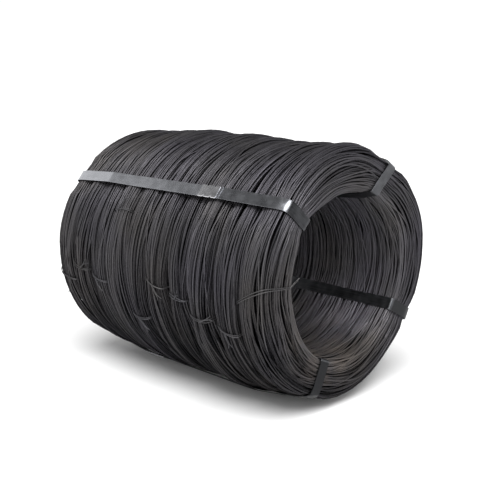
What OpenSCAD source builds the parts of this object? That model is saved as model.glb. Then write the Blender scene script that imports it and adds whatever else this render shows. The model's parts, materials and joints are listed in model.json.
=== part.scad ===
// Bundle of round carbon steel wire: ten tied hanks side by side, held by four steel straps.
// X runs along the bundle's axis, +Z is up and the floor is at z = 0.

/* [Bundle] */
// Diameter of the bore that a mandrel or hook goes through
bore_d = 425; // [360:5:460]
// Depth of wire between the bore and the outside of the largest hank
hank_build = 127.5; // [100:0.5:150]
// Width of one hank along the axis
hank_w = 79; // [66:1:96]
// Diameter of the wire
wire_d = 4.5; // [4:0.25:6]
// How far the outside of a hank bulges
crown_rise = 11; // [7:0.5:15]
// Radius of the round shoulders between neighbouring hanks
shoulder_r = 14; // [9:0.5:17]
// Chamfer of the lips inside the bore
lip_chamfer = 5; // [3:0.5:8]
// Radius of the round outer edge at the two ends of the bundle
end_edge_r = 42; // [30:1:50]
// Radius of the round lips at the two ends of the bore
end_lip_r = 16; // [10:0.5:20]

/* [Straps] */
// Width of the strap
strap_w = 32; // [25:1:40]
// Thickness of the strap
strap_t = 0.9; // [0.6:0.1:1.4]
// Inner radius of the slight bends where the strap starts to slope down to the ends
strap_shoulder_r = 80; // [60:5:120]
// Inner radius of the bends where the strap turns down over the ends
strap_edge_r = 14; // [8:1:24]
// Angles of the straps round the axis, from +Y towards +Z
strap_angles = [60, 140, 246, 331]; // [0:1:360]

/* [Seals] */
// Length of the seal that joins the two ends of a strap
seal_l = 62; // [50:1:75]
// Thickness of the seal's sheet
seal_t = 0.9; // [0.6:0.1:1.2]
// Width of one crimp notch along the strap
notch_l = 9; // [6:0.5:12]
// Depth of one crimp notch into the strap's edge
notch_depth = 3.5; // [2:0.5:6]

/* [Ties] */
// Diameter of the wire that ties a hank
tie_d = 3.2; // [2.5:0.1:4]
// Gap between pieces that lie against each other
seat_gap = 0.3; // [0.2:0.05:0.4]

/* [Hidden] */
$fn = 96;
bore_r = bore_d / 2;
bundle_r = bore_r + hank_build;
wire_r = wire_d / 2;
tie_r = tie_d / 2;
hank_count = 10;
hank_gap = tie_d + 2 * seat_gap;
hank_pitch = hank_w + hank_gap;
bundle_l = hank_count * hank_pitch - hank_gap;

// Outer radius, sideways shift and clearance over the floor of each hank, as shares of bundle_r
hank_r_shares = [0.960, 0.972, 0.990, 1.000, 0.990, 0.996, 0.986, 0.980, 0.972, 0.960];
hank_side_shares = [0.000, -0.006, 0.016, 0.000, -0.016, 0.004, 0.014, -0.018, 0.008, 0.000];
hank_lift_shares = [0.040, 0.020, 0, 0, 0, 0, 0, 0, 0.014, 0.040];

// Angles of the ties of each hank
tie_angles = [
    [192, 42, 302],
    [185, 40, 296],
    [189, 46, 307],
    [155, 38, 293],
    [202, 44, 304],
    [184, 40, 297],
    [188, 45, 309],
    [194, 41, 301],
    [198, 46, 294],
    [180]
];

// The strap lies level from the middle out to this share of bundle_l, and slopes down from there
strap_level_share = 0.273;
// Middle of each strap's seal along the bundle, as a share of bundle_l
seal_x_shares = [0.201, 0.216, -0.212, 0.200];
// Middles of a seal's two pairs of crimp notches, as shares of seal_l
notch_x_shares = [-0.2, 0.2];
// A crimp notch is this share as wide at its bottom as at its mouth
notch_floor_share = 0.5;
// Length of the strap's doubled stretch, as a share of seal_l
strap_lap_share = 1.3;
// The upper layer of that stretch reaches this share of a thickness into the lower one
root_share = 0.5;
// Gap round the doubled strap inside its seal
seal_gap = seat_gap / 2;

// Turns lie this share of a wire apart, so that neighbours overlap a little
turn_pitch_share = 0.92;
turn_pitch = wire_d * turn_pitch_share;
// The lowest turn of an end's lip stands out past the bore wall by this share of a wire, which is cut off
lip_sink_share = 0.15;
// Depth of a hank's section below the bore wall before the bore is cut, as a share of bundle_r
under_bore_share = 0.06;
// Half width of a hank at the middle of its side wires
side_x = hank_w / 2 - wire_r;
// Radius of the arc across a middle hank's outside
crown_r = (pow(hank_w / 2, 2) + pow(crown_rise, 2)) / (2 * crown_rise);
// Radius of the arc from an end hank's inner side up to its round edge
end_crown_r = (pow(hank_w - end_edge_r, 2) + pow(crown_rise, 2)) / (2 * crown_rise);

// Bends are this much thicker than the runs between them, which reach a little way into them
bend_swell_share = 1.06;
bend_lap_share = 0.1;
bend_lap = bend_lap_share * tie_d;
// Ties and straps bend round an end's lip with this share of its radius
lip_bend_share = 0.5;
lip_bend_r = lip_bend_share * end_lip_r;
// A tie bends round the wire at each other lip
tie_bend_r = wire_r + seat_gap + tie_r;
// Place of the crown among a tie's bends
crown_place = 2;
// Length by which a cutter runs past what it cuts
past = wire_d;

function hank_x(i) = (i - (hank_count - 1) / 2) * hank_pitch;
function hank_r(i) = hank_r_shares[i] * bundle_r;
function hank_dy(i) = hank_side_shares[i] * bundle_r;
function hank_dz(i) = hank_lift_shares[i] * bundle_r + hank_r(i) - bundle_r;
function is_end(i) = i == 0 || i == hank_count - 1;

// Distance from the bundle's axis to the top of hank i along angle a
function hank_reach(i, a) =
    let (along = hank_dy(i) * cos(a) + hank_dz(i) * sin(a))
    along + sqrt(pow(hank_r(i), 2) - pow(hank_dy(i), 2) - pow(hank_dz(i), 2) + along * along);

// Radius at which a strap at angle a lies on the highest hank
function strap_r(a) = max([for (i = [0 : hank_count - 1]) hank_reach(i, a)]) + seat_gap;

// A bend is [x, y, radius, from angle, to angle] in a plane through the axis, and turns from X to Y
function bend_point(b, a) = [b[0] + b[2] * cos(a), b[1] + b[2] * sin(a)];
function bend_start(b) = bend_point(b, b[3]);
function bend_end(b) = bend_point(b, b[4]);

// The same row of bends, turned round to the other end of the bundle
function flipped(bends) =
    [for (k = [len(bends) - 1 : -1 : 0])
        let (b = bends[k])
        [-b[0], b[1], b[2], 180 - b[4], 180 - b[3]]];

// Points one turn apart along a bend or a line, without the last one
function bend_turns(b) =
    let (steps = ceil((b[4] - b[3]) * PI / 180 * b[2] / turn_pitch))
    [for (k = [0 : steps - 1]) bend_point(b, b[3] + (b[4] - b[3]) * k / steps)];
function line_turns(p, q) =
    let (steps = ceil(norm(q - p) / turn_pitch))
    [for (k = [0 : steps - 1]) p + (q - p) * k / steps];

// The same bends, set out by a distance
function grown(bends, by) =
    [for (b = bends) [b[0], b[1], b[2] + by, b[3], b[4]]];

// Bends of the outside of hank i with its top at top_y, drawn for the +X end: edge, crown, far shoulder
function outside_bends(i, top_y) =
    let (
        crown_x = is_end(i) ? hank_w / 2 - end_edge_r : 0,
        arc_r = is_end(i) ? end_crown_r : crown_r,
        far_x = hank_w / 2 - shoulder_r,
        half_a = asin((far_x + crown_x) / (arc_r - shoulder_r)),
        shoulder_y = top_y - arc_r + (arc_r - shoulder_r) * cos(half_a),
        edge = is_end(i)
            ? [crown_x, top_y - end_edge_r, end_edge_r, 0, 90]
            : [far_x, shoulder_y, shoulder_r, 0, 90 - half_a]
    )
    [
        edge,
        [crown_x, top_y - arc_r, arc_r, edge[4], 90 + half_a],
        [-far_x, shoulder_y, shoulder_r, 90 + half_a, 180]
    ];

// Middles of the wires that show on the end of an end hank, from its lip up to its outside
function end_wires(edge) =
    let (
        lip_y = bore_r + end_lip_r - lip_sink_share * wire_d,
        lip = [hank_w / 2 - end_lip_r, lip_y, end_lip_r - wire_r, -90, 0]
    )
    concat(bend_turns(lip), line_turns(bend_end(lip), bend_start(edge)));

// Middles of the wires that show on hank i
function hank_wires(i) =
    let (bends = grown(outside_bends(i, hank_r(i)), -wire_r))
    concat(is_end(i) ? end_wires(bends[0]) : [],
        [for (b = bends) each bend_turns(b)], [bend_end(bends[2])]);

// Section of a hank, half of it, with its turns showing on the outside and on the bundle's ends;
// the side of an end hank that shows is drawn down
module hank_section(i) {
    wires = hank_wires(i);
    floor_r = bore_r - under_bore_share * bundle_r;
    outline = concat([[wires[0][0], floor_r]], wires, [[-side_x, floor_r]]);
    polygon([for (p = outline) [p[1], -p[0]]]);
    for (p = wires)
        translate([p[1], -p[0]]) circle(r = wire_r, $fn = 24);
}

// Turns a shape drawn round Z so that it lies round X, with its upper side towards +X or -X
module along_x(side = 1) {
    rotate([0, 90 * side, 0]) children();
}

// Bore of hank i with the chamfers of the lips towards its neighbours
module hank_bore(i) {
    lip_h = lip_chamfer + past;
    cylinder(r = bore_r, h = 2 * (side_x + past), center = true, $fn = 180);
    if (i < hank_count - 1)
        translate([0, 0, side_x - lip_chamfer])
            cylinder(r1 = bore_r, r2 = bore_r + lip_h, h = lip_h, $fn = 180);
    if (i > 0)
        translate([0, 0, -side_x - past])
            cylinder(r1 = bore_r + lip_h, r2 = bore_r, h = lip_h, $fn = 180);
}

// Slot that lets a strap or tie of the given width and depth lie flush in the bore
module bore_slot(a, width, depth) {
    rotate([a, 0, 0])
        translate([-side_x - past, bore_r - past, -width / 2 - seat_gap])
            cube([2 * (side_x + past), past + depth + 2 * seat_gap, width + 2 * seat_gap]);
}

// One hank: a turned ring whose outside may lie a little off the bore's axis
module hank(i) {
    color("#55555a")
        translate([hank_x(i), 0, bundle_r])
            difference() {
                translate([0, hank_dy(i), hank_dz(i)])
                    along_x(i == hank_count - 1 ? -1 : 1)
                        rotate_extrude($fn = 180) hank_section(i);
                along_x() hank_bore(i);
                for (a = strap_angles)
                    bore_slot(a, strap_w, strap_t);
                for (a = tie_angles[i])
                    bore_slot(a, tie_d, tie_d);
            }
}

// Puts children at point p, with their X pointing to point q
module from_to(p, q) {
    translate([p[0], p[1], 0])
        rotate([0, 0, atan2(q[1] - p[1], q[0] - p[0])]) children();
}

// Bends of the tie round hank i at angle a, drawn for the +X end and turned round for the other
function tie_bends(i, a) =
    let (
        out = seat_gap + tie_r,
        lip_r = is_end(i) ? lip_bend_r : tie_bend_r,
        side = hank_w / 2 + out,
        low_y = bore_r + out,
        bends = concat(
            [[side - lip_r, low_y + lip_r, lip_r, -90, 0]],
            grown(outside_bends(i, hank_reach(i, a)), out),
            [[tie_bend_r - side, low_y + tie_bend_r, tie_bend_r, 180, 270]])
    )
    i == 0 ? flipped(bends) : bends;

// Bent length of tie wire
module tie_bend(b, section_r, lap) {
    lap_a = lap / b[2] * 180 / PI;
    translate([b[0], b[1], 0])
        rotate([0, 0, b[3] - lap_a])
            rotate_extrude(angle = b[4] - b[3] + 2 * lap_a)
                translate([b[2], 0]) circle(r = section_r, $fn = 24);
}

// One tie round hank i at angle a: over the outside, down both sides and along the bore
module tie(i, a) {
    bends = tie_bends(i, a);
    translate([hank_x(i), 0, bundle_r])
        rotate([a, 0, 0])
            for (k = [0 : len(bends) - 1]) {
                p = bend_end(bends[k]);
                q = bend_start(bends[(k + 1) % len(bends)]);
                if (k == crown_place)
                    tie_bend(bends[k], tie_r, bend_lap);
                else
                    tie_bend(bends[k], tie_r * bend_swell_share, 0);
                if (norm(q - p) > tie_d)
                    from_to(p, q)
                        translate([-bend_lap, 0, 0])
                            along_x() cylinder(r = tie_r, h = norm(q - p) + 2 * bend_lap, $fn = 24);
            }
}

module ties(i) {
    color("#6a6a6c")
        for (a = tie_angles[i])
            tie(i, a);
}

// Bends of a strap at the +X end over an end hank of radius r, for a strap that lies level at out_y
function strap_end_bends(r, out_y) =
    let (
        end_x = bundle_l / 2 + seat_gap,
        edge_r = end_edge_r + seat_gap,
        edge_at = [bundle_l / 2 - end_edge_r, r - end_edge_r],
        shoulder_at = [strap_level_share * bundle_l, out_y - strap_shoulder_r],
        way = edge_at - shoulder_at,
        slope_a = asin((strap_shoulder_r - edge_r) / norm(way)) - atan2(way[1], way[0]),
        turn_x = end_x - strap_edge_r,
        turn_up = edge_r - strap_edge_r - (turn_x - edge_at[0]) * sin(slope_a)
    )
    [
        [end_x - lip_bend_r, bore_r + strap_t + lip_bend_r, lip_bend_r, -90, 0],
        [turn_x, edge_at[1] + turn_up / cos(slope_a), strap_edge_r, 0, 90 - slope_a],
        [shoulder_at[0], shoulder_at[1], strap_shoulder_r, 90 - slope_a, 90]
    ];

// Bends of the closed loop of a strap at angle a
function strap_bends(a) =
    concat(strap_end_bends(hank_r(hank_count - 1), strap_r(a)),
        flipped(strap_end_bends(hank_r(0), strap_r(a))));

// Bent and straight lengths of strap, whose inside follows the bends
module strap_bend(b) {
    swell = strap_t * (bend_swell_share - 1);
    translate([b[0], b[1], 0])
        rotate([0, 0, b[3]])
            rotate_extrude(angle = b[4] - b[3], $fn = 180)
                translate([b[2] + strap_t / 2, 0])
                    square([strap_t + swell, strap_w + swell], center = true);
}

module strap_run(length) {
    translate([-bend_lap, -strap_t, -strap_w / 2]) cube([length + 2 * bend_lap, strap_t, strap_w]);
}

module strap_loop(bends) {
    for (k = [0 : len(bends) - 1]) {
        p = bend_end(bends[k]);
        q = bend_start(bends[(k + 1) % len(bends)]);
        strap_bend(bends[k]);
        from_to(p, q) strap_run(norm(q - p));
    }
}

// Places children in the plane of the strap at angle a, with Y pointing away from the axis
module strap_plane(a) {
    translate([0, 0, bundle_r]) rotate([a, 0, 0]) children();
}

// Crimp notches of the seal on strap n, through the seal and both layers of strap
module crimp_notches(n) {
    edge_z = strap_w / 2 + seal_gap + seal_t;
    mouth = notch_l / 2;
    bottom = mouth * notch_floor_share;
    for (share = notch_x_shares, side = [0, 180])
        translate([seal_x_shares[n] * bundle_l + share * seal_l, strap_r(strap_angles[n]), 0])
            rotate([side, 0, 0])
                rotate([90, 0, 0])
                    translate([0, edge_z, 0])
                        linear_extrude(height = 2 * strap_w, center = true)
                            polygon([
                                [-mouth, seal_t], [mouth, seal_t], [mouth, 0],
                                [bottom, -notch_depth], [-bottom, -notch_depth], [-mouth, 0]
                            ]);
}

// Sleeve folded round the two ends of strap n
module seal(n) {
    out_y = strap_r(strap_angles[n]);
    hole = [seal_l + 2 * seal_t, 2 * (strap_t + seal_gap), strap_w + 2 * seal_gap];
    sheet = [seal_l, hole[1] + 2 * seal_t, hole[2] + 2 * seal_t];
    color("#8b8b8f")
        strap_plane(strap_angles[n])
            difference() {
                translate([seal_x_shares[n] * bundle_l, out_y + strap_t, 0]) {
                    difference() {
                        cube(sheet, center = true);
                        cube(hole, center = true);
                    }
                }
                crimp_notches(n);
            }
}

// One strap: a closed loop along the outside, over both ends and back through the bore
module strap(n) {
    a = strap_angles[n];
    lap = seal_l * strap_lap_share;
    lap_t = strap_t * (1 + root_share);
    color("#7d7d82")
        strap_plane(a)
            difference() {
                union() {
                    strap_loop(strap_bends(a));
                    translate([seal_x_shares[n] * bundle_l, strap_r(a) + 2 * strap_t - lap_t / 2, 0])
                        cube([lap, lap_t, strap_w], center = true);
                }
                crimp_notches(n);
            }
}

// Node names and the one to draw

hank(0);  // hank_01
hank(1);  // hank_02
hank(2);  // hank_03
hank(3);  // hank_04
hank(4);  // hank_05
hank(5);  // hank_06
hank(6);  // hank_07
hank(7);  // hank_08
hank(8);  // hank_09
hank(9);  // hank_10
ties(0);  // ties_01
ties(1);  // ties_02
ties(2);  // ties_03
ties(3);  // ties_04
ties(4);  // ties_05
ties(5);  // ties_06
ties(6);  // ties_07
ties(7);  // ties_08
ties(8);  // ties_09
ties(9);  // ties_10
strap(0);  // strap_1
strap(1);  // strap_2
strap(2);  // strap_3
strap(3);  // strap_4
seal(0);  // seal_1
seal(1);  // seal_2
seal(2);  // seal_3
seal(3);  // seal_4
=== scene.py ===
"""Looks of a strapped bundle of steel wire hanks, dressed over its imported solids."""
import json
import math

import bpy
import numpy as np
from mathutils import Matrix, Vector


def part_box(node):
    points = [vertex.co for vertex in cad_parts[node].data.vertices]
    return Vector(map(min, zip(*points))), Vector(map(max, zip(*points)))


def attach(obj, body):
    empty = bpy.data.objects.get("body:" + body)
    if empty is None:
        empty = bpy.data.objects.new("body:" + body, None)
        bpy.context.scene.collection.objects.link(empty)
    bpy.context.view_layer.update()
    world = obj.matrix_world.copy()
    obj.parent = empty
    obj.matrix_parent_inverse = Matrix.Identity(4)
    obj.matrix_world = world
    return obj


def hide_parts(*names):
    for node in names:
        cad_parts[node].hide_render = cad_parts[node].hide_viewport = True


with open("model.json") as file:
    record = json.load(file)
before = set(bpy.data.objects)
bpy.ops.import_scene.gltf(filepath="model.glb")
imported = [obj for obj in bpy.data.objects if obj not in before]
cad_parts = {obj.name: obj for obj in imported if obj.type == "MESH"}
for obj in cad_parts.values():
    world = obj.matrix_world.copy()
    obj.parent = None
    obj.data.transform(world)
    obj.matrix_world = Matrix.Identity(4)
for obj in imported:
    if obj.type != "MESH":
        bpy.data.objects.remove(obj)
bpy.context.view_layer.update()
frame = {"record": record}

# Sizes in metres, angles in degrees round the bore from +Y towards +Z
WIRE_D = 0.0045
HANKS = 10
CROWN_RISE = 0.011
SHOULDER_R = 0.014
VALLEY_DEPTH = 0.030
INNER_LIP = 0.005
INNER_SIDE = 3 * INNER_LIP
END_EDGE_R = 0.042
END_LIP_R = 0.016
SEAT_GAP = 0.0003
# Radii over which the corners of a hank's seen stretches are smoothed
OUTSIDE_SMOOTH = 0.006
INSIDE_SMOOTH = 0.004
# First seeds of the hanks, of their ties and of the straps
WIRE_SEED = 100
TIE_SEED = 300
STRAP_SEED = 500

# Straps and their seals. A strap's corners are eased by a share of the way to the wire's rounder edge, and
# it is drawn in steps in metres along its runs and in degrees round its bends, with a least count there
STRAP_ANGLES = (60, 140, 246, 331)
STRAP_W = 0.032
STRAP_T = 0.0009
STRAP_LEVEL_SHARE = 0.273
STRAP_SHOULDER_R = 0.080
STRAP_EDGE_R = 0.014
EDGE_EASE = 0.45
STRAP_LIP_R = 0.008
STRAP_STEP = 0.008
BEND_STEP = 7
LEAST_BEND = 4
STRAP_BEVEL = 0.0002
# Doubled stretch under the seal: length and steps
STRAP_LAP = 0.0806
LAP_STEPS = 60
# Keeps the streaks of a strap's upper layer unlike those of its lower one
LAP_SHIFT = 5
# Roll of a strap along its length: spacing and size
ROLL_WAVE = 0.09
ROLL_SIZE = 0.012
# Seals: places along the bundle, then sizes
SEAL_X_SHARES = (0.201, 0.216, -0.212, 0.200)
SEAL_L = 0.062
SEAL_T = 0.0009
SEAL_GAP = 0.00015
NOTCHES = (-0.0124, 0.0124)
NOTCH_L = 0.009
NOTCH_DEPTH = 0.0035
SEAL_STEPS = 94
# Its corner radius, and how much less that is inside, as a share of its thickness
SEAL_CORNER = 0.0018
INNER_CORNER_SHARE = 0.95
# Its flat faces: share of its width, and steps
SEAL_FLAT_SHARE = 0.9
SEAL_FLAT_STEPS = 13
# Share of a seal's half width from which its crimps bend it, and how much flatter they make it
CRIMP_FROM = 0.55
CRIMP_FLAT = 0.16
# Shading angles over which the edges of straps and seals stay sharp
STRAP_SHARP = 30
SEAL_SHARP = 35
# How bright each strap is on its outside, on the ends of the bundle and in the bore, and each seal: partly
# wear, partly painted shade
STRAP_WEAR_AND_SHADE = (0.75, 0.92, 0.08, 0.45)
END_WEAR_AND_SHADE = (0.15, 0.05, -0.25, -0.10)
BORE_WEAR_AND_SHADE = 0.14
SEAL_WEAR_AND_SHADE = (0.7, 0.9, 0.1, 0.5)
# Share of that brightness left between a strap's seal and the shown end, as painted shade
PAST_SEAL_SHADE = 0.62
# Painted highlights: how much brighter a seal is along its edges, and at its crimps
PAINTED_EDGE_HIGHLIGHT = 0.25
PAINTED_CRIMP_HIGHLIGHT = 0.6
# Shares of the way from the bore to the outside, and fades, where the outside's and the bore's wear and
# painted shade begin
TOP_WEAR_AND_SHADE_FROM, TOP_WEAR_AND_SHADE_FADE = 0.80, 0.06
BORE_WEAR_AND_SHADE_FROM, BORE_WEAR_AND_SHADE_FADE = 0.10, 0.05
# At the end that the photograph shows: how many degrees each strap is off its angle at the outer edge and
# at the lip of the bore, how far it has pulled that lip outwards, and how far round and up that reaches
EDGE_TURN = (-4, -2, 0, 0)
LIP_TURN = (5, -2, 0, 0)
LIP_PULL = (0.010, 0.014, 0, 0)
LIP_REACH = 13
LIP_RISE_SHARE = 0.6

# Ties: places round each hank, and how far each slants across its hank, in degrees
TIE_D = 0.0023
TIE_SIDES = 6
TIE_ANGLES = (
    (192, 42, 302),
    (185, 40, 296),
    (189, 46, 307),
    (155, 38, 293),
    (202, 44, 304),
    (184, 40, 297),
    (188, 45, 309),
    (194, 41, 301),
    (198, 46, 294),
    (180,),
)
TIE_SLANTS = (4.5, 3.5, 3.0, -1.5, 2.5, 3.5, 2.5, 2.0, 3.0, -7.0)
SLANT_SPREAD = 0.8
# Half the angle between a tie's two turns, and its sway: spacing round the tie and size in degrees
TURN_APART = 0.22
SWAY_WAVE = 0.12
SWAY_SIZE = 0.25
# A tie's corner radius and steps, its height over the hank's outline as a share of a wire, the share of a
# hank's depth below which it sinks, and how far, in wires
TIE_BEND = 0.004
TIE_STEP = 0.003
TIE_LIFT_SHARE = 0.25
TIE_SINK_SHARE = 0.2
TIE_SINK = 1.4
# How far ties pull a hank in, how much of that is left on the end hanks, how far a hank spreads between
# ties, their reach in degrees, and the shares of its depth between which all this sets in
TIE_PINCH = 0.24
END_PINCH_SHARE = 0.25
TIE_SPREAD = 0.05
TIE_REACH = 12
FREE_FROM, FREE_TO = 0.1, 0.6
# Twisted ends of a tie: length, turns, their radius in tie wires, length of the free tails, steps
TWIST_L = 0.024
TWIST_TURNS = 3.5
TWIST_R_SHARE = 0.55
TAIL_L = 0.016
KNOT_STEPS = 34
# Ranges of their lean in radians, of their curl away from the wire, and of the tails' spread and bend
KNOT_LEAN = (0.5, 1.25)
KNOT_CURL = (-0.004, 0.002)
TAIL_SPREAD = (0.003, 0.008)
TAIL_BEND = (-0.003, 0.005)
# How far they start above the wire, and their slope away from it
KNOT_LIFT = 0.0012
KNOT_SLOPE = 0.10
# Lean of the side on which their first corners lie, which keeps it off the wire's own direction
CORNER_LEAN = 0.3
# Place of the twisted ends, as a share of the way round the tie: the range of it, and on either end hank
KNOT_SHARES = (0.12, 0.20)
END_KNOTS = {-1: 0.64, 1: 0.47}

# Layers of wire, from the outside in: spacing and depth in wires, sideways wander in metres, and how
# finely the wire is drawn
LAYERS = (
    {"pitch": 3.4, "depth": 0.05, "wander": 0.0110, "rings": 72, "sides": 5},
    {"pitch": 1.0, "depth": 0.60, "wander": 0.0032, "rings": 72, "sides": 5},
    {"pitch": 1.2, "depth": 1.50, "wander": 0.0032, "rings": 48, "sides": 4},
)
# A wire's own wander: spacing in turns of its short and long waves, size of the short ones as a share, and
# the share that ties take away
SHORT_WAVE, LONG_WAVE = 0.09, 0.3
SHORT_SHARE = 0.6
TIED_SHARE = 0.6
# Its rise and fall in the layer: spacing in turns, and size and overall slope in wires
DEPTH_WAVE = 0.15
DEPTH_SIZE = 0.40
DEPTH_SLOPE = 0.05
# Shared drift of neighbouring turns: length along the section, size and number of waves
CLUMPS = ((0.050, 0.0016, 4), (0.024, 0.0011, 4), (0.013, 0.0006, 3))
# Ranges of how often each wave twists round the bore and of its share of that length, and how far it sways
# to and fro, in radians
CLUMP_TWISTS = (1, 5)
CLUMP_SPREAD = (0.7, 1.4)
CLUMP_SWAY = 0.9
# Filling behind the wire: steps round the bore, its depth below the wire in wires, how far its foot reaches
# towards the next hank's, how far above its foot it is that wide, and how far below its top it still is a
# share of that
CORE_STEPS = 120
CORE_INSET = 2.6
CORE_OVER = 0.002
CORE_LOW = 0.007
CORE_HIGH = 0.020
CORE_SHARE = 0.94
# How much lower its top is on an end hank, as a share of the rounded edge
CORE_EDGE_SHARE = 0.25
# How far the wire stands out between the straps, and the straps' reach in degrees
SWELL = 0.004
END_SWELL = 0.007
STRAP_REACH = 11
# How far straps press the wire down, in wires and twice that on the end hanks, their reach in degrees, and
# how full that is in the middle
PRESSED_DEPTH = 0.6
PRESSED_REACH = 6.5
PRESSED_GAIN = 1.6
# How far the wire fills the corners that straps make at the ends of the bundle, and its reach in degrees
CORNER_FILL = 0.009
CORNER_REACH = 11
# How the wire lies at the end that the photograph shows: angle, then how many millimetres it is pushed
# out along the axis and away from it, smoothed over a few degrees in steps; this fades in along the axis
NEAR_PUSH = (
    (20, 8, 9),
    (41, 4, 9),
    (60, -4, 3),
    (79, 0, 7),
    (100, 2, 5),
    (140, 9, -14),
    (180, 11, 1),
    (215, 9, -1),
    (246, 2, -9),
    (275, -3, -7),
    (307, -12, -13),
    (331, -6, -14),
    (349, 0, -2),
)
NEAR_SMOOTH = 9
NEAR_STEPS = 7
NEAR_FROM, NEAR_TO = 0.15, 0.40
# How far the wire of the other end stands out at its side, that side's angle and reach in degrees, and the
# stretch of the axis over which this fades in
FAR_OUT = 0.008
FAR_ANGLE = 182
FAR_REACH = 45
FAR_FROM, FAR_TO = -0.12, -0.34

# Tone of the wire: painted light makes it lighter on top and in the bore, painted shade darkens the
# underside, and dust that also paints light lies low in the bore; these reach up to a share of a hank's
# depth
TOP_ANGLE = 116
TOP_REACH = 48
PAINTED_TOP_LIGHT = 1.3
LOW_ANGLE = 228
LOW_REACH = 42
PAINTED_LOW_SHADE = 1.5
PAINTED_BORE_LIGHT = 2.3
INNER_SHARE = 0.35
DUST_AND_LIGHT_ANGLE = 250
DUST_AND_LIGHT_SHARE = 0.75
# Painted shade of the filling, and tone of single wires: spacing in turns, size, and how much darker
# deeper wires are painted, as painted shade
PAINTED_CORE_SHADE = -3.0
TONE_WAVE = 0.4
TONE_SIZE = 0.8
PAINTED_DEPTH_SHADE = 0.6

# Photograph's camera: angles, distance in bundle radii, focal length, principal point and frame in pixels,
# and the sensor's width in millimetres
VIEW_AZIMUTH = 46.5
VIEW_ELEVATION = 11.7
VIEW_DISTANCE = 7.44
FOCAL_PX = 891.0
PRINCIPAL_PX = (236.4, 253.5)
FRAME_PX = 500
SENSOR_MM = 36

BORE = frame["record"]["mounts"][0]
BORE_R = BORE["dims"]["r_mm"] / 1000
AXIS_Z = BORE["pos_m"][2]
BUNDLE_R = AXIS_Z


# Forms of the hanks


def hank_form(index):
    """Sizes of one hank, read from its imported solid."""
    low, high = (Vector(c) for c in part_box(f"hank_{index + 1:02d}"))
    return {
        "index": index,
        "mid": (low.x + high.x) / 2,
        "half": (high.x - low.x) / 2,
        "side": (low.y + high.y) / 2,
        "lift": (low.z + high.z) / 2 - AXIS_Z,
        "radius": (high.z - low.z) / 2,
        "thick": (high.z - low.z) / 2 - BORE_R,
        "end": {0: -1, HANKS - 1: 1}.get(index, 0),
    }


# Angles at which straps press on the wire
PRESSED_ANGLES = STRAP_ANGLES + tuple(
    a + t for turns in (EDGE_TURN, LIP_TURN) for a, t in zip(STRAP_ANGLES, turns) if t
)
FORMS = [hank_form(index) for index in range(HANKS)]
HALF_L = FORMS[-1]["mid"] + FORMS[-1]["half"]


def reach(form, theta):
    """Distance from the bore's axis to the outside of a hank."""
    along = form["side"] * np.cos(theta) + form["lift"] * np.sin(theta)
    off = form["side"] ** 2 + form["lift"] ** 2
    return along + np.sqrt(form["radius"] ** 2 - off + along**2)


def near(theta, angles, width):
    """1 at any of the angles, falling to 0 over a width in degrees."""
    total = np.zeros_like(theta)
    for angle in angles:
        gap = np.degrees(np.angle(np.exp(1j * (theta - math.radians(angle)))))
        total += np.exp(-((gap / width) ** 2))
    return np.clip(total, 0, 1)


def distances(points):
    """Distance along a polyline to each of its points."""
    return np.r_[0, np.cumsum(np.linalg.norm(np.diff(points, axis=0), axis=1))]


def directions(points):
    """Direction of a polyline at each of its points."""
    slope = np.gradient(points, axis=0)
    return slope / np.linalg.norm(slope, axis=1)[:, None]


def rounded(points, radius, step=0.001):
    """Evenly spaced points along a polyline, with its corners smoothed over about a radius."""
    points = np.array(points, float)
    length = distances(points)
    at = np.linspace(0, length[-1], int(length[-1] / step))
    line = np.c_[np.interp(at, length, points[:, 0]), np.interp(at, length, points[:, 1])]
    n = int(radius / step)
    kernel = np.hanning(2 * n + 3)[1:-1]
    kernel /= kernel.sum()
    before, after = 2 * line[0] - line[n:0:-1], 2 * line[-1] - line[-2 : -n - 2 : -1]
    padded = np.concatenate([before, line, after])
    return np.c_[np.convolve(padded[:, 0], kernel, "valid"), np.convolve(padded[:, 1], kernel, "valid")]


def arc(x, y, radius, start, stop, n=13):
    """Points of an arc between two angles in degrees."""
    turn = np.radians(np.linspace(start, stop, n))
    return [(x + radius * math.cos(a), y + radius * math.sin(a)) for a in turn]


def crown_line(half, thick, top_x):
    """A hank's inner side and crown up to its top, as x and height over the bore."""
    across = half + top_x
    crown_r = (across**2 + CROWN_RISE**2) / (2 * CROWN_RISE)
    lean = math.degrees(math.asin((across - SHOULDER_R) / (crown_r - SHOULDER_R)))
    shoulder_y = thick - crown_r + (crown_r - SHOULDER_R) * math.cos(math.radians(lean))
    shoulder = arc(SHOULDER_R - half, shoulder_y, SHOULDER_R, 180, 90 + lean)
    crown = arc(top_x, thick - crown_r, crown_r, 90 + lean, 90)
    return [(-half, shoulder_y - VALLEY_DEPTH)] + shoulder + crown[1:]


def outside_line(form):
    """A middle hank's outside, from one side over the crown to the other."""
    left = crown_line(form["half"], form["thick"], 0)
    return left + [(-x, y) for x, y in left[-2::-1]]


def inside_line(form):
    """A middle hank's wire along the bore, from one side to the other."""
    half, lip = form["half"], INNER_LIP
    right = [(half, INNER_SIDE), (half, lip), (half - lip, 0)]
    return right + [(-x, y) for x, y in right[::-1]]


def end_line(form):
    """An end hank's wire, from its inner side over the crown, round the end and back along the bore."""
    half, thick = form["half"], form["thick"]
    top_x = half - END_EDGE_R
    edge = arc(top_x, thick - END_EDGE_R, END_EDGE_R, 90, 0)
    lip = arc(half - END_LIP_R, END_LIP_R, END_LIP_R, 0, -90)
    back = [(INNER_LIP - half, 0), (-half, INNER_LIP), (-half, INNER_SIDE)]
    return crown_line(half, thick, top_x) + edge[1:] + lip + back


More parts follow.
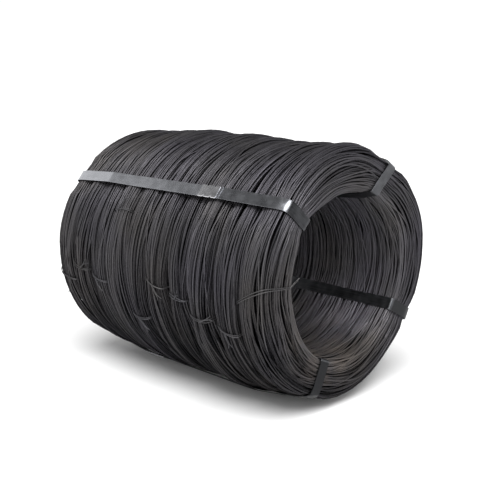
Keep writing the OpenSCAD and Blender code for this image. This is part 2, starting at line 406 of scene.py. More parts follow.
def bands(form):
    """Stretches of a hank's section that can be seen, each as a line of x and height over the bore."""
    if form["end"] == 0:
        return [rounded(outside_line(form), OUTSIDE_SMOOTH), rounded(inside_line(form), INSIDE_SMOOTH)]
    line = rounded(end_line(form), OUTSIDE_SMOOTH)
    return [line if form["end"] > 0 else (line * (-1, 1))[::-1]]


def near_end(x):
    """0 along most of the bundle, rising to 1 at the end that the photograph shows."""
    return np.clip((x - NEAR_FROM) / (NEAR_TO - NEAR_FROM), 0, 1) ** 2


def far_out(x, theta):
    """How far the wire stands out towards the other end."""
    fade = np.clip((x - FAR_FROM) / (FAR_TO - FAR_FROM), 0, 1)
    return FAR_OUT * near(theta, (FAR_ANGLE,), FAR_REACH) * fade


def near_push(theta):
    """How far the shown end is pushed along the axis and away from it, smoothed round the bore."""
    angles, along, out = np.array(NEAR_PUSH, float).T
    turns = [np.degrees(theta) + step for step in np.linspace(-NEAR_SMOOTH, NEAR_SMOOTH, NEAR_STEPS)]

    def smooth(push):
        return np.mean([np.interp(turn, angles, push, period=360) for turn in turns], axis=0) / 1000

    return smooth(along), smooth(out)


def lip_pull(x, rise, theta):
    """How far straps have pulled the lip of the bore outwards at the shown end."""
    pulls = zip(LIP_PULL, STRAP_ANGLES, LIP_TURN)
    pulled = sum(pull * near(theta, (angle + turn,), LIP_REACH) for pull, angle, turn in pulls)
    return pulled * near_end(x) ** 4 * np.clip(1 - rise / LIP_RISE_SHARE, 0, 1)


def corner_fill(form, x, y, theta):
    """How far straps' corners are filled by wire of an end hank, along the axis and out."""
    side = np.clip((x * form["end"] - form["half"]) / END_EDGE_R + 1, 0, 1)
    up = np.clip((y - form["thick"]) / END_EDGE_R + 1, 0, 1)
    angles = [a + (form["end"] > 0) * t for a, t in zip(STRAP_ANGLES, EDGE_TURN)]
    fill = CORNER_FILL * near(theta, angles, CORNER_REACH) * (2 * side * up) ** 3
    return form["end"] * fill * side, abs(form["end"]) * fill * up


def place(form, x, y, theta):
    """Section points to places in the frame, pulled in at the ties and swollen between the straps."""
    tied = near(theta, TIE_ANGLES[form["index"]], TIE_REACH)
    loose = 1 - near(theta, STRAP_ANGLES, STRAP_REACH)
    rise = y / form["thick"]
    pinch = TIE_PINCH * (END_PINCH_SHARE if form["end"] else 1)
    free = np.clip((rise - FREE_FROM) / (FREE_TO - FREE_FROM), 0, 1)
    end_x = np.clip(x / form["half"] * form["end"], 0, 1)
    fill_x, fill_r = corner_fill(form, x, y, theta)
    x = form["mid"] + x * (1 + free * (TIE_SPREAD - (pinch + TIE_SPREAD) * tied))
    fade = near_end(x)
    along, out = near_push(theta)
    r = BORE_R + rise * (reach(form, theta) - BORE_R + fade * out + far_out(x, theta) + SWELL * loose)
    r = r + fill_r + lip_pull(x, rise, theta)
    x = x + fade * along + fill_x - (form["end"] < 0) * END_SWELL * loose * end_x
    return np.c_[x, r * np.cos(theta), AXIS_Z + r * np.sin(theta)]


# Winding of the wire


def wander(rng, turns, spacing, size):
    """Smooth random walk along the wire, with a knot every `spacing` turns."""
    knots = rng.normal(0, size, int(turns[-1] / spacing) + 5)
    at = turns / spacing + 1
    k = at.astype(int)
    f = at - k
    a, b, c, d = knots[k - 1], knots[k], knots[k + 1], knots[k + 2]
    return b + 0.5 * f * (c - a + f * (2 * a - 5 * b + 4 * c - d + f * (3 * (b - c) + d - a)))


def clump_waves(rng):
    """Waves of the drift that neighbouring turns share, so that they bunch and part."""
    waves = []
    for period, size, count in CLUMPS:
        for _ in range(count):
            twist = rng.integers(*CLUMP_TWISTS) * rng.choice((-1, 1))
            waves.append((period * rng.uniform(*CLUMP_SPREAD), size, twist, *rng.uniform(0, math.tau, 2)))
    return waves


def drift(waves, theta, along):
    """Sideways drift at places round the bore and along the section."""
    out = np.zeros_like(theta)
    for period, size, twist, start, phase in waves:
        sway = CLUMP_SWAY * np.sin(2 * theta + phase)
        out += size * np.sin(math.tau * along / period + twist * theta + sway + start)
    return out


def wind(form, band, layer, waves, rng):
    """One long wire laid over a band: its places, angles, turns, and height as a share of the hank's."""
    length = distances(band)
    whole = length[-1]
    count = max(2, round(whole / (layer["pitch"] * WIRE_D)))
    turns = np.arange(count * layer["rings"] + 1) / layer["rings"]
    theta = math.tau * turns + rng.uniform(0, math.tau)
    tied = near(theta, TIE_ANGLES[form["index"]], TIE_REACH)
    size = layer["wander"]
    own = wander(rng, turns, SHORT_WAVE, SHORT_SHARE * size) + wander(rng, turns, LONG_WAVE, size)
    own *= 1 - TIED_SHARE * tied
    along = turns / count * whole
    along = np.clip(along + own + drift(waves, theta, along), 0, whole)
    depth = WIRE_D * (layer["depth"] + np.abs(wander(rng, turns, DEPTH_WAVE, DEPTH_SIZE)))
    strapped = np.clip(PRESSED_GAIN * near(theta, PRESSED_ANGLES, PRESSED_REACH), 0, 1)
    pressed = PRESSED_DEPTH * (2 if form["end"] else 1)
    depth = np.maximum(depth, pressed * WIRE_D * strapped) + DEPTH_SLOPE * WIRE_D * turns / count
    slope = directions(band)
    x = np.interp(along, length, band[:, 0]) + np.interp(along, length, slope[:, 1]) * depth
    y = np.interp(along, length, band[:, 1]) - np.interp(along, length, slope[:, 0]) * depth
    path = place(form, x, y, theta)
    path[:, 2] = np.maximum(path[:, 2], WIRE_D / 2)
    return path, theta, turns, y / form["thick"]


# Meshes


def link(obj):
    """Puts an object in the scene."""
    bpy.context.scene.collection.objects.link(obj)


def tube(path, out, radius, sides):
    """Tube along a path, with closed ends: its corners, four-sided faces and end faces."""
    along = directions(path)
    first = out - along * np.sum(out * along, axis=1)[:, None]
    first /= np.linalg.norm(first, axis=1)[:, None]
    second = np.cross(along, first)
    turn = np.arange(sides) * math.tau / sides
    ring = first[:, None] * np.cos(turn)[:, None] + second[:, None] * np.sin(turn)[:, None]
    return sweep(path[:, None] + radius * ring)


def sweep(rings, closed=False):
    """Skin over a row of rings of corners, with its ends closed unless the row runs back into itself."""
    count, sides = rings.shape[:2]
    row = np.arange(count if closed else count - 1)[:, None] * sides
    ahead = (row + sides) % (count * sides)
    a, b = np.arange(sides), (np.arange(sides) + 1) % sides
    quads = np.stack([row + a, row + b, ahead + b, ahead + a], axis=-1).reshape(-1, 4)
    last = (count - 1) * sides
    ends = [] if closed else [list(range(sides))[::-1], [last + k for k in range(sides)]]
    return rings.reshape(-1, 3), quads, ends


def mesh_object(name, parts, values, material):
    """One object from several parts, with values kept on its corners for its material."""
    corners, loops, sizes, at = [], [], [], 0
    for c, quads, ends in parts:
        corners.append(c)
        loops.append((quads + at).ravel())
        sizes.append(np.full(len(quads), 4))
        for face in ends:
            loops.append(np.array(face) + at)
            sizes.append([len(face)])
        at += len(c)
    corners, loops, sizes = (np.concatenate(k) for k in (corners, loops, sizes))
    mesh = bpy.data.meshes.new(name)
    mesh.vertices.add(len(corners))
    mesh.vertices.foreach_set("co", corners.astype(np.float32).ravel())
    mesh.loops.add(len(loops))
    mesh.loops.foreach_set("vertex_index", loops.astype(np.int32))
    mesh.polygons.add(len(sizes))
    mesh.polygons.foreach_set("loop_start", np.r_[0, np.cumsum(sizes)[:-1]].astype(np.int32))
    mesh.polygons.foreach_set("loop_total", sizes.astype(np.int32))
    mesh.update(calc_edges=True)
    mesh.shade_smooth()
    for key, parts_values in values.items():
        kept = mesh.attributes.new(key, "FLOAT", "POINT")
        kept.data.foreach_set("value", np.concatenate(parts_values).astype(np.float32))
    mesh.materials.append(material)
    obj = bpy.data.objects.new(name, mesh)
    link(obj)
    return obj


def settle(obj, node):
    """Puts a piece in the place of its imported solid."""
    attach(obj, "root")
    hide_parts(node)


def core(form):
    """Filling behind the layers of wire, a ring of the hank's section; its dark colour is painted shade."""
    inset = CORE_INSET * WIRE_D
    half, low, high = form["half"] - inset, inset, form["thick"] - inset - CROWN_RISE
    if form["end"]:
        high -= CORE_EDGE_SHARE * END_EDGE_R
    n = CORE_STEPS
    theta = np.arange(n) * math.tau / n
    left, right = (half if form["end"] == k else form["half"] + CORE_OVER for k in (-1, 1))
    bottom, top = low + CORE_LOW, high - CORE_HIGH
    section = [(-half, low), (half, low), (right, bottom), (CORE_SHARE * right, top)]
    section += [(half, high), (-half, high), (-CORE_SHARE * left, top), (-left, bottom)]
    corners = [place(form, np.full(n, x), np.full(n, y), theta) for x, y in section]
    return sweep(np.stack(corners, axis=1), closed=True)


def build_hank(index, material):
    """Wire of one hank."""
    form = FORMS[index]
    rng = np.random.default_rng(WIRE_SEED + index)
    filling = core(form)
    count = len(filling[0])
    # The filling is painted dark, as painted shade
    parts, tones, dust_and_light_values = [filling], [np.full(count, PAINTED_CORE_SHADE)], [np.zeros(count)]
    for band in bands(form):
        waves = clump_waves(rng)
        for layer in LAYERS:
            path, theta, turns, rise = wind(form, band, layer, waves, rng)
            out = np.c_[np.zeros_like(theta), np.cos(theta), np.sin(theta)]
            parts.append(tube(path, out, WIRE_D / 2, layer["sides"]))
            inner = np.clip(1 - rise / INNER_SHARE, 0, 1)
            # Where painted shade darkens the underside
            low = near(theta, (LOW_ANGLE,), LOW_REACH) * np.clip(2 * rise - 1, 0, 1)
            # Dust low in the bore, which also paints light there
            dust_and_light = near(theta, (DUST_AND_LIGHT_ANGLE,), LOW_REACH) * np.clip(1 - rise / DUST_AND_LIGHT_SHARE, 0, 1)
            # Random tone, and painted shade that darkens deeper layers
            tone = wander(rng, turns, TONE_WAVE, TONE_SIZE) - PAINTED_DEPTH_SHADE * layer["depth"]
            top = near(theta, (TOP_ANGLE,), TOP_REACH)
            # Painted light on top and in the bore, and painted shade on the underside
            tone += PAINTED_BORE_LIGHT * inner + PAINTED_TOP_LIGHT * top * (1 - inner) - PAINTED_LOW_SHADE * low
            tones.append(np.repeat(tone, layer["sides"]))
            dust_and_light_values.append(np.repeat(dust_and_light, layer["sides"]))
    obj = mesh_object(f"wire_{index + 1:02d}", parts, {"tone": tones, "dust_and_light": dust_and_light_values}, material)
    settle(obj, f"hank_{index + 1:02d}")


# Ties


def tie_section(form, out):
    """Line round a hank's section that a tie follows, out from its wire by a distance, closed."""
    if form["end"] == 0:
        line = outside_line(form)[1:-1] + inside_line(form)[1:-1]
    else:
        line = end_line(form)[1:-2]
        line = line if form["end"] > 0 else [(-x, y) for x, y in line][::-1]
    line = rounded(line + line[:1], TIE_BEND, TIE_STEP)
    slope = directions(line)
    shown = np.clip(line[:, 1] / (TIE_SINK_SHARE * form["thick"]), 0, 1)
    off = out * shown - TIE_SINK * WIRE_D * (1 - shown)
    return np.c_[line[:, 0] - slope[:, 1] * off, line[:, 1] + slope[:, 0] * off]


def tie_strand(form, angle, slant, out, rng):
    """Points of one turn of tie wire round a hank."""
    line = tie_section(form, out)
    steps = np.linspace(0, 1, len(line))
    turn = angle + slant * line[:, 0] / (2 * form["half"]) + wander(rng, steps, SWAY_WAVE, SWAY_SIZE)
    return place(form, line[:, 0], line[:, 1], np.radians(turn))


def twisted_ends(at, along, out, way_round, rng):
    """The two ends of a tie: twisted round each other, then apart."""
    along = along / np.linalg.norm(along)
    out = out / np.linalg.norm(out)
    side = np.cross(along, out)
    lean = way_round * rng.uniform(*KNOT_LEAN) * rng.choice((-1, 1))
    way = math.cos(lean) * along + math.sin(lean) * side
    turned = np.cross(out, way)
    t = np.linspace(0, TWIST_L + TAIL_L, KNOT_STEPS)
    free = np.clip(t - TWIST_L, 0, None) / TAIL_L
    lift = KNOT_LIFT + KNOT_SLOPE * t + rng.uniform(*KNOT_CURL) * (t / TWIST_L) ** 2
    axis = at + t[:, None] * way + lift[:, None] * out
    parts = []
    for side_sign in (-1, 1):
        turn = math.tau * TWIST_TURNS * np.clip(t / TWIST_L, 0, 1) + (side_sign > 0) * math.pi
        swing = TWIST_R_SHARE * TIE_D * np.c_[np.cos(turn), np.sin(turn)]
        apart = side_sign * rng.uniform(*TAIL_SPREAD) * free**2
        bent = rng.uniform(*TAIL_BEND) * free**2
        path = axis + (swing[:, :1] + apart[:, None]) * turned + (swing[:, 1:] + bent[:, None]) * out
        corner = np.tile(turned + CORNER_LEAN * out, (len(t), 1))
        parts.append(tube(path, corner, TIE_D / 2, TIE_SIDES))
    return parts


def build_ties(index, material):
    """Ties of one hank, each two turns of soft wire with twisted ends."""
    form = FORMS[index]
    rng = np.random.default_rng(TIE_SEED + index)
    out = TIE_D / 2 + TIE_LIFT_SHARE * WIRE_D
    parts, tones = [], []
    for angle in TIE_ANGLES[index]:
        slant = TIE_SLANTS[index] + rng.uniform(-SLANT_SPREAD, SLANT_SPREAD)
        for shift in (-TURN_APART, TURN_APART):
            path = tie_strand(form, angle + shift, slant, out, rng)
            theta = np.arctan2(path[:, 2] - AXIS_Z, path[:, 1])
            across = np.c_[np.zeros_like(theta), -np.sin(theta), np.cos(theta)]
            parts.append(tube(path, across, TIE_D / 2, TIE_SIDES))
        share = END_KNOTS[form["end"]] if form["end"] else rng.uniform(*KNOT_SHARES)
        k = int(share * len(path))
        along = path[k + 1] - path[k - 1]
        way_round = -1 if form["end"] > 0 else 1
        parts += twisted_ends(path[k], along, np.cross(across[k], along), way_round, rng)
        # Its two turns and two ends
        tones += [np.full(len(p[0]), rng.uniform(-TONE_SIZE, TONE_SIZE)) for p in parts[-4:]]
    obj = mesh_object(f"tie_wire_{index + 1:02d}", parts, {"tone": tones}, material)
    settle(obj, f"ties_{index + 1:02d}")


# Straps and seals


def end_bends(radius, out_y):
    """Bends of a strap at the +X end, as middle, radius and angles, from the bore to the level stretch."""
    end_x = HALF_L + SEAT_GAP
    edge_r = END_EDGE_R + SEAT_GAP
    edge = np.array((HALF_L - END_EDGE_R, radius - END_EDGE_R))
    shoulder = np.array((STRAP_LEVEL_SHARE * 2 * HALF_L, out_y - STRAP_SHOULDER_R))
    way = edge - shoulder
    slope = math.asin((STRAP_SHOULDER_R - edge_r) / math.hypot(*way)) - math.atan2(way[1], way[0])
    turn_x = end_x - STRAP_EDGE_R
    turn_up = edge_r - STRAP_EDGE_R - (turn_x - edge[0]) * math.sin(slope)
    lean = 90 - math.degrees(slope)
    return [
        (end_x - STRAP_LIP_R, BORE_R + STRAP_T + STRAP_LIP_R, STRAP_LIP_R, -90, 0),
        (turn_x, edge[1] + turn_up / math.cos(slope), STRAP_EDGE_R, 0, lean),
        (*shoulder, STRAP_SHOULDER_R, lean, 90),
    ]


def strap_height(n):
    """Distance from the bore's axis to the level stretch of strap n."""
    theta = math.radians(STRAP_ANGLES[n])
    return max(reach(form, theta) for form in FORMS) + SEAT_GAP


def strap_line(out_y):
    """Closed line of a strap's inner face and its outward directions, in the plane of its angle."""
    ahead = end_bends(FORMS[-1]["radius"], out_y)
    behind = [(-x, y, r, 180 - b, 180 - a) for x, y, r, a, b in end_bends(FORMS[0]["radius"], out_y)[::-1]]
    points, outs = [], []
    for x, y, r, start, stop in ahead + behind:
        n = max(LEAST_BEND, int((stop - start) / BEND_STEP))
        turn = np.radians(np.linspace(start, stop, n))
        out = np.c_[np.cos(turn), np.sin(turn)]
        bend = (x, y) + r * out
        if points:
            fill_run(points, outs, bend[0], out[0])
        points += list(bend)
        outs += list(out)
    fill_run(points, outs, points[0], outs[0])
    return np.array(points), np.array(outs)


def fill_run(points, outs, goal, out):
    """Points along the straight run from the last point to a goal."""
    start = points[-1]
    steps = int(np.linalg.norm(goal - start) / STRAP_STEP)
    for k in range(1, steps):
        points.append(start + (goal - start) * k / steps)
        outs.append(out)


def notch(x, seal_x):
    """1 in the middle of a crimp notch, falling to 0 at its mouth."""
    total = np.zeros_like(x)
    for offset in NOTCHES:
        gap = np.clip(np.abs(x - seal_x - offset) / (NOTCH_L / 2), 0, 1)
        total += np.cos(gap * math.pi / 2) ** 2
    return total


def eased(x, r):
    """Points of a strap drawn in where it turns over an end, to lie on the rounder edge of the wire."""
    radius = np.where(x > 0, FORMS[-1]["radius"], FORMS[0]["radius"])
    side = np.clip((np.abs(x) - HALF_L) / END_EDGE_R + 1, 0, None)
    up = np.clip((r - radius) / END_EDGE_R + 1, 0, None)
    far = np.maximum(np.hypot(side, up), 1)
    drawn = EDGE_EASE * END_EDGE_R * (far - 1) * 2 * side * up / far**2
    return x - np.sign(x) * drawn * side / far, r - drawn * up / far


def in_plane(n, x, r, across):
    """Places in the frame of points given along the axis, out from it and across strap n."""
    fade = near_end(x)
    rise = np.clip((r - BORE_R) / (BUNDLE_R - BORE_R), 0, 1)
    theta = np.radians(STRAP_ANGLES[n] + fade * (rise * EDGE_TURN[n] + (1 - rise) * LIP_TURN[n]))
    along, out = near_push(theta)
    x, r = eased(x, r)
    sunk = np.minimum(0, reach(FORMS[-1], theta) - FORMS[-1]["radius"])
    r = r + (fade * (out + sunk) + far_out(x, theta)) * rise + lip_pull(x, rise, theta)
    x = x + fade * along
    c, s = np.cos(theta), np.sin(theta)
    return np.stack([x, r * c - across * s, AXIS_Z + r * s + across * c], axis=-1)


def band_rings(n, points, outs, half, low, high, tilt):
    """Rings of a flat band along a line: bevelled edges, a width for each point, and a slight roll."""
    bevel = STRAP_BEVEL
    inner = half - bevel
    across = np.stack([-inner, inner, half, half, inner, -inner, -half, -half], axis=1)
    height = np.array([low, low, low + bevel, high - bevel, high, high, high - bevel, low + bevel])
    height = height[None] + tilt[:, None] * across
    x = points[:, :1] + outs[:, :1] * height
    r = points[:, 1:] + outs[:, 1:] * height
    return in_plane(n, x, r, across), across


def strap_wear_and_shade(n, points):
    """How bright a strap is at each point of its line, from wear and painted shade."""
    rise = (points[:, 1] - BORE_R) / (BUNDLE_R - BORE_R)
    top = np.clip((rise - TOP_WEAR_AND_SHADE_FROM) / TOP_WEAR_AND_SHADE_FADE, 0, 1)
    low = np.clip((BORE_WEAR_AND_SHADE_FROM - rise) / BORE_WEAR_AND_SHADE_FADE, 0, 1)
    # Painted shade between the seal and the shown end
    outside = STRAP_WEAR_AND_SHADE[n] * np.where(points[:, 0] > SEAL_X_SHARES[n] * 2 * HALF_L, PAST_SEAL_SHADE, 1)
    return top * outside + (1 - top) * ((1 - low) * END_WEAR_AND_SHADE[n] + low * BORE_WEAR_AND_SHADE)


def build_strap(n, material):
    """One strap with its doubled stretch under the seal."""
    rng = np.random.default_rng(STRAP_SEED + n)
    out_y = strap_height(n)
    points, outs = strap_line(out_y)
    seal_x = SEAL_X_SHARES[n] * 2 * HALF_L
    length = distances(points)
    tilt = wander(rng, length, ROLL_WAVE, ROLL_SIZE)
    on_top = points[:, 1] > out_y - STRAP_T
    dent = NOTCH_DEPTH * np.where(on_top, notch(points[:, 0], seal_x), 0)
    tilt = np.where(on_top & (np.abs(points[:, 0] - seal_x) < STRAP_LAP), 0, tilt)
    rings, across = band_rings(n, points, outs, STRAP_W / 2 - dent, 0, STRAP_T, tilt)
    lap_x = np.linspace(seal_x - STRAP_LAP / 2, seal_x + STRAP_LAP / 2, LAP_STEPS)
    lap = np.c_[lap_x, np.full_like(lap_x, out_y)]
    up = np.tile((0.0, 1.0), (len(lap), 1))
    lap_half = STRAP_W / 2 - NOTCH_DEPTH * notch(lap_x, seal_x)
    lap_rings, lap_across = band_rings(n, lap, up, lap_half, STRAP_T, 2 * STRAP_T, np.zeros(len(lap)))
    sides = rings.shape[1]
    values = {
        "along": [np.repeat(length, sides), np.repeat(lap_x + LAP_SHIFT, sides)],
        "across": [across.ravel(), lap_across.ravel()],
        # Wear and painted shade along the strap and its doubled stretch
        "wear_and_shade": [np.repeat(strap_wear_and_shade(n, points), sides), np.full(lap_across.size, STRAP_WEAR_AND_SHADE[n])],
    }
    parts = [sweep(rings, closed=True), sweep(lap_rings)]
    obj = mesh_object(f"steel_strap_{n + 1}", parts, values, material)
    obj.data.set_sharp_from_angle(angle=math.radians(STRAP_SHARP))
    settle(obj, f"strap_{n + 1}")


def seal_loop(half, height, corner, n=7):
    """Rounded rectangle across a seal: places across and over its middle."""
    points = []
    flat = np.linspace(SEAL_FLAT_SHARE, -SEAL_FLAT_SHARE, SEAL_FLAT_STEPS) * half
    for sx, sy, start in ((1, 1, 0), (-1, 1, 90), (-1, -1, 180), (1, -1, 270)):
        points += arc(sx * (half - corner), sy * (height - corner), corner, start, start + 90, n)
        if sx == sy:
            points += [(sy * x, sy * height) for x in flat]
    return np.array(points)


def sleeve(outer, inner):
    """Sleeve between two skins of rings, with its rims closed: its corners and four-sided faces."""
    count, sides = outer.shape[:2]
    corners = np.concatenate([outer.reshape(-1, 3), inner.reshape(-1, 3)])
    _, skin, _ = sweep(outer)
    a, b = np.arange(sides), (np.arange(sides) + 1) % sides
    far, hole = (count - 1) * sides, count * sides
    front = np.stack([a, hole + a, hole + b, b], axis=-1)
    back = np.stack([far + a, far + b, far + hole + b, far + hole + a], axis=-1)
    quads = np.concatenate([skin[:, ::-1], skin + hole, front[:, ::-1], back[:, ::-1]])
    return corners, quads, []


def build_seal(n, material):
    """Sleeve folded round the two ends of a strap and crimped in at its edges."""
    middle = strap_height(n) + STRAP_T
    seal_x = SEAL_X_SHARES[n] * 2 * HALF_L
    x = np.linspace(seal_x - SEAL_L / 2, seal_x + SEAL_L / 2, SEAL_STEPS)
    dent = notch(x, seal_x)
    skins, values = [], {"along": [], "across": [], "wear_and_shade": []}
    for inset in (0, SEAL_T):
        half = STRAP_W / 2 + SEAL_GAP + SEAL_T - inset
        height = STRAP_T + SEAL_GAP + SEAL_T - inset
        loop = seal_loop(half, height, SEAL_CORNER - INNER_CORNER_SHARE * inset)
        edge = np.clip((np.abs(loop[:, 0]) / loop[:, 0].max() - CRIMP_FROM) / (1 - CRIMP_FROM), 0, 1)
        across = loop[:, 0] - np.sign(loop[:, 0]) * edge * NOTCH_DEPTH * dent[:, None]
        over = loop[:, 1] * (1 - CRIMP_FLAT * edge * dent[:, None])
        skins.append(in_plane(n, np.repeat(x[:, None], len(loop), axis=1), middle + over, across))
        values["along"].append(np.repeat(x, len(loop)))
        values["across"].append(across.ravel())
        # Painted highlights along the seal's edges and at its crimps
        painted_highlight = (PAINTED_CRIMP_HIGHLIGHT * dent[:, None] + PAINTED_EDGE_HIGHLIGHT) * edge
        values["wear_and_shade"].append((SEAL_WEAR_AND_SHADE[n] + painted_highlight * SEAL_WEAR_AND_SHADE[n]).ravel())
    values = {key: [np.concatenate(v)] for key, v in values.items()}
    obj = mesh_object(f"crimped_seal_{n + 1}", [sleeve(*skins)], values, material)
    obj.data.set_sharp_from_angle(angle=math.radians(SEAL_SHARP))
    settle(obj, f"seal_{n + 1}")


# Materials

# Dull and bright colour of each material, and its roughness
WIRE_LOOK = ((0.005, 0.005, 0.006), (0.089, 0.087, 0.091), 0.42)
TIE_LOOK = ((0.030, 0.030, 0.032), (0.105, 0.105, 0.110), 0.46)
STRAP_LOOK = ((0.014, 0.0145, 0.016), (0.44, 0.45, 0.48), 0.22)
SEAL_LOOK = ((0.10, 0.10, 0.11), (0.62, 0.62, 0.64), 0.24)
# Range over which noise is spread
NOISE_RANGE = (0.3, 0.7)
# Wire: shine, the tint that its oily skin gives to light that glances off it, and its range of tones
WIRE_METALLIC = 0.7
WIRE_SPECULAR = 0.25
EDGE_TINT = (0.32, 0.31, 0.33)
TONE_RANGE = (-2.5, 1.8)
# Its speckle, patches of tint, dust that also paints light, and uneven roughness: scale of the noise, and
# what the noise does
SPECKLE_SCALE = 260
SPECKLE_TONE = 0.5
SPECKLE_BUMP = (0.25, 0.0004)
TINT_SCALE = 4.5
TINTS = ((0.36, (0.99, 0.97, 1.06)), (0.52, (1.0, 0.99, 1.01)), (0.70, (1.04, 1.0, 0.94)))
DUST_AND_LIGHT_SCALE = 14
DUST_AND_LIGHT_RANGE = (0.35, 0.65)
DUST_AND_LIGHT_COVER = (0.1, 0.9)
DUST_AND_LIGHT = (0.180, 0.152, 0.130)
ROUGH_SCALE = 30
ROUGH_SPREAD = (-0.09, 0.12)
# Strip: shine, and scales of its streaks along and across it and of its patches
STRIP_METALLIC = 0.95
STREAK_ALONG = 9.0
STREAK_ACROSS = 700.0
PATCH_SCALE = 42
# How far streaks, patches and the edge, at these distances from its middle, change how bright it is rubbed
STREAK_RUB = (-0.14, 0.14)
STREAK_BUMP = (0.12, 0.0003)
PATCH_RANGE = (0.35, 0.7)
PATCH_RUB = (-0.12, 0.10)
RUBBED_EDGE = (0.0146, 0.0160)
EDGE_RUB = 0.22
# All three matter less on dull strip: range of wear and painted shade, and their shares there
RUB_RANGE = (0, 0.8)
RUB_SHARES = (0.3, 1)
# How much rougher dull strip is, and its patches
DULL_ROUGH = 0.16
PATCH_ROUGH = (-0.05, 0.07)


def new_material(name, metallic, roughness):
    """A material, its node tree and its shader."""
    material = bpy.data.materials.new(name)
    material.use_nodes = True
    tree = material.node_tree
    shader = tree.nodes["Principled BSDF"]
    shader.inputs["Metallic"].default_value = metallic
    shader.inputs["Roughness"].default_value = roughness
    return material, tree, shader


def ramp_node(tree, value, stops):
    """Colour ramp over a value from 0 to 1."""
    ramp = tree.nodes.new("ShaderNodeValToRGB")
    elements = ramp.color_ramp.elements
    while len(elements) < len(stops):
        elements.new(0.5)
    for element, (at, colour) in zip(elements, stops):
        element.position = at
        element.color = (*colour, 1)
    tree.links.new(value, ramp.inputs["Fac"])
    return ramp.outputs["Color"]


def kept_value(tree, name):
    """A value that the mesh keeps on its corners."""
    node = tree.nodes.new("ShaderNodeAttribute")
    node.attribute_name = name
    return node.outputs["Fac"]


def span(tree, value, low, high, to_low=0.0, to_high=1.0):
    """A value's range from low to high, spread over another range."""
    node = tree.nodes.new("ShaderNodeMapRange")
    for key, number in (("From Min", low), ("From Max", high), ("To Min", to_low), ("To Max", to_high)):
        node.inputs[key].default_value = number
    tree.links.new(value, node.inputs["Value"])
    return node.outputs["Result"]


def noise(tree, vector, scale, detail=4):
    """Noise from 0 to 1 over a vector."""
    node = tree.nodes.new("ShaderNodeTexNoise")
    node.inputs["Scale"].default_value = scale
    node.inputs["Detail"].default_value = detail
    tree.links.new(vector, node.inputs["Vector"])
    return node.outputs["Fac"]


def object_place(tree):
    """Place on the object, in metres."""
    return tree.nodes.new("ShaderNodeTexCoord").outputs["Object"]


def maths(tree, kind, a, b):
    """Sum, product and the like of two values, either of which may be a number."""
    node = tree.nodes.new("ShaderNodeMath")
    node.operation = kind
    for socket, value in zip(node.inputs, (a, b)):
        if isinstance(value, (int, float)):
            socket.default_value = value
        else:
            tree.links.new(value, socket)
    return node.outputs["Value"]


def multiply(tree, a, b):
    """Product of two colours."""
    node = tree.nodes.new("ShaderNodeMix")
    node.data_type = "RGBA"
    node.blend_type = "MULTIPLY"
    node.inputs["Factor"].default_value = 1
    tree.links.new(a, node.inputs["A"])
    tree.links.new(b, node.inputs["B"])
    return node.outputs["Result"]


def mixed(tree, colour, other, share):
    """A colour with a share of another laid over it."""
    node = tree.nodes.new("ShaderNodeMix")
    node.data_type = "RGBA"
    node.inputs["B"].default_value = (*other, 1)
    tree.links.new(share, node.inputs["Factor"])
    tree.links.new(colour, node.inputs["A"])
    return node.outputs["Result"]


def bump(tree, shader, height, strength, distance):
    """Fine relief of a shader from a height."""
    node = tree.nodes.new("ShaderNodeBump")
    node.inputs["Strength"].default_value = strength
    node.inputs["Distance"].default_value = distance
    tree.links.new(height, node.inputs["Height"])
    tree.links.new(node.outputs["Normal"], shader.inputs["Normal"])


def wire_material(name, dark, light, roughness):
    """Drawn steel: brightness from the mesh, patches of tint, a skin that is dull in places."""
    material, tree, shader = new_material(name, WIRE_METALLIC, roughness)
    shader.inputs["Specular IOR Level"].default_value = WIRE_SPECULAR
    shader.inputs["Specular Tint"].default_value = (*EDGE_TINT, 1)
    where = object_place(tree)
    speckle = noise(tree, where, SPECKLE_SCALE)
    spots = span(tree, speckle, *NOISE_RANGE, -SPECKLE_TONE, SPECKLE_TONE)
    tone = maths(tree, "ADD", kept_value(tree, "tone"), spots)
    colour = ramp_node(tree, span(tree, tone, *TONE_RANGE), [(0, dark), (1, light)])
    colour = multiply(tree, colour, ramp_node(tree, noise(tree, where, TINT_SCALE), TINTS))
    # Patches of dust, which also paint light low in the bore
    cover = span(tree, noise(tree, where, DUST_AND_LIGHT_SCALE), *DUST_AND_LIGHT_RANGE, *DUST_AND_LIGHT_COVER)
    colour = mixed(tree, colour, DUST_AND_LIGHT, maths(tree, "MULTIPLY", kept_value(tree, "dust_and_light"), cover))
    tree.links.new(colour, shader.inputs["Base Color"])
    ends = (roughness + change for change in ROUGH_SPREAD)
    rough = span(tree, noise(tree, where, ROUGH_SCALE), *NOISE_RANGE, *ends)
    tree.links.new(rough, shader.inputs["Roughness"])
    bump(tree, shader, speckle, *SPECKLE_BUMP)
    return material


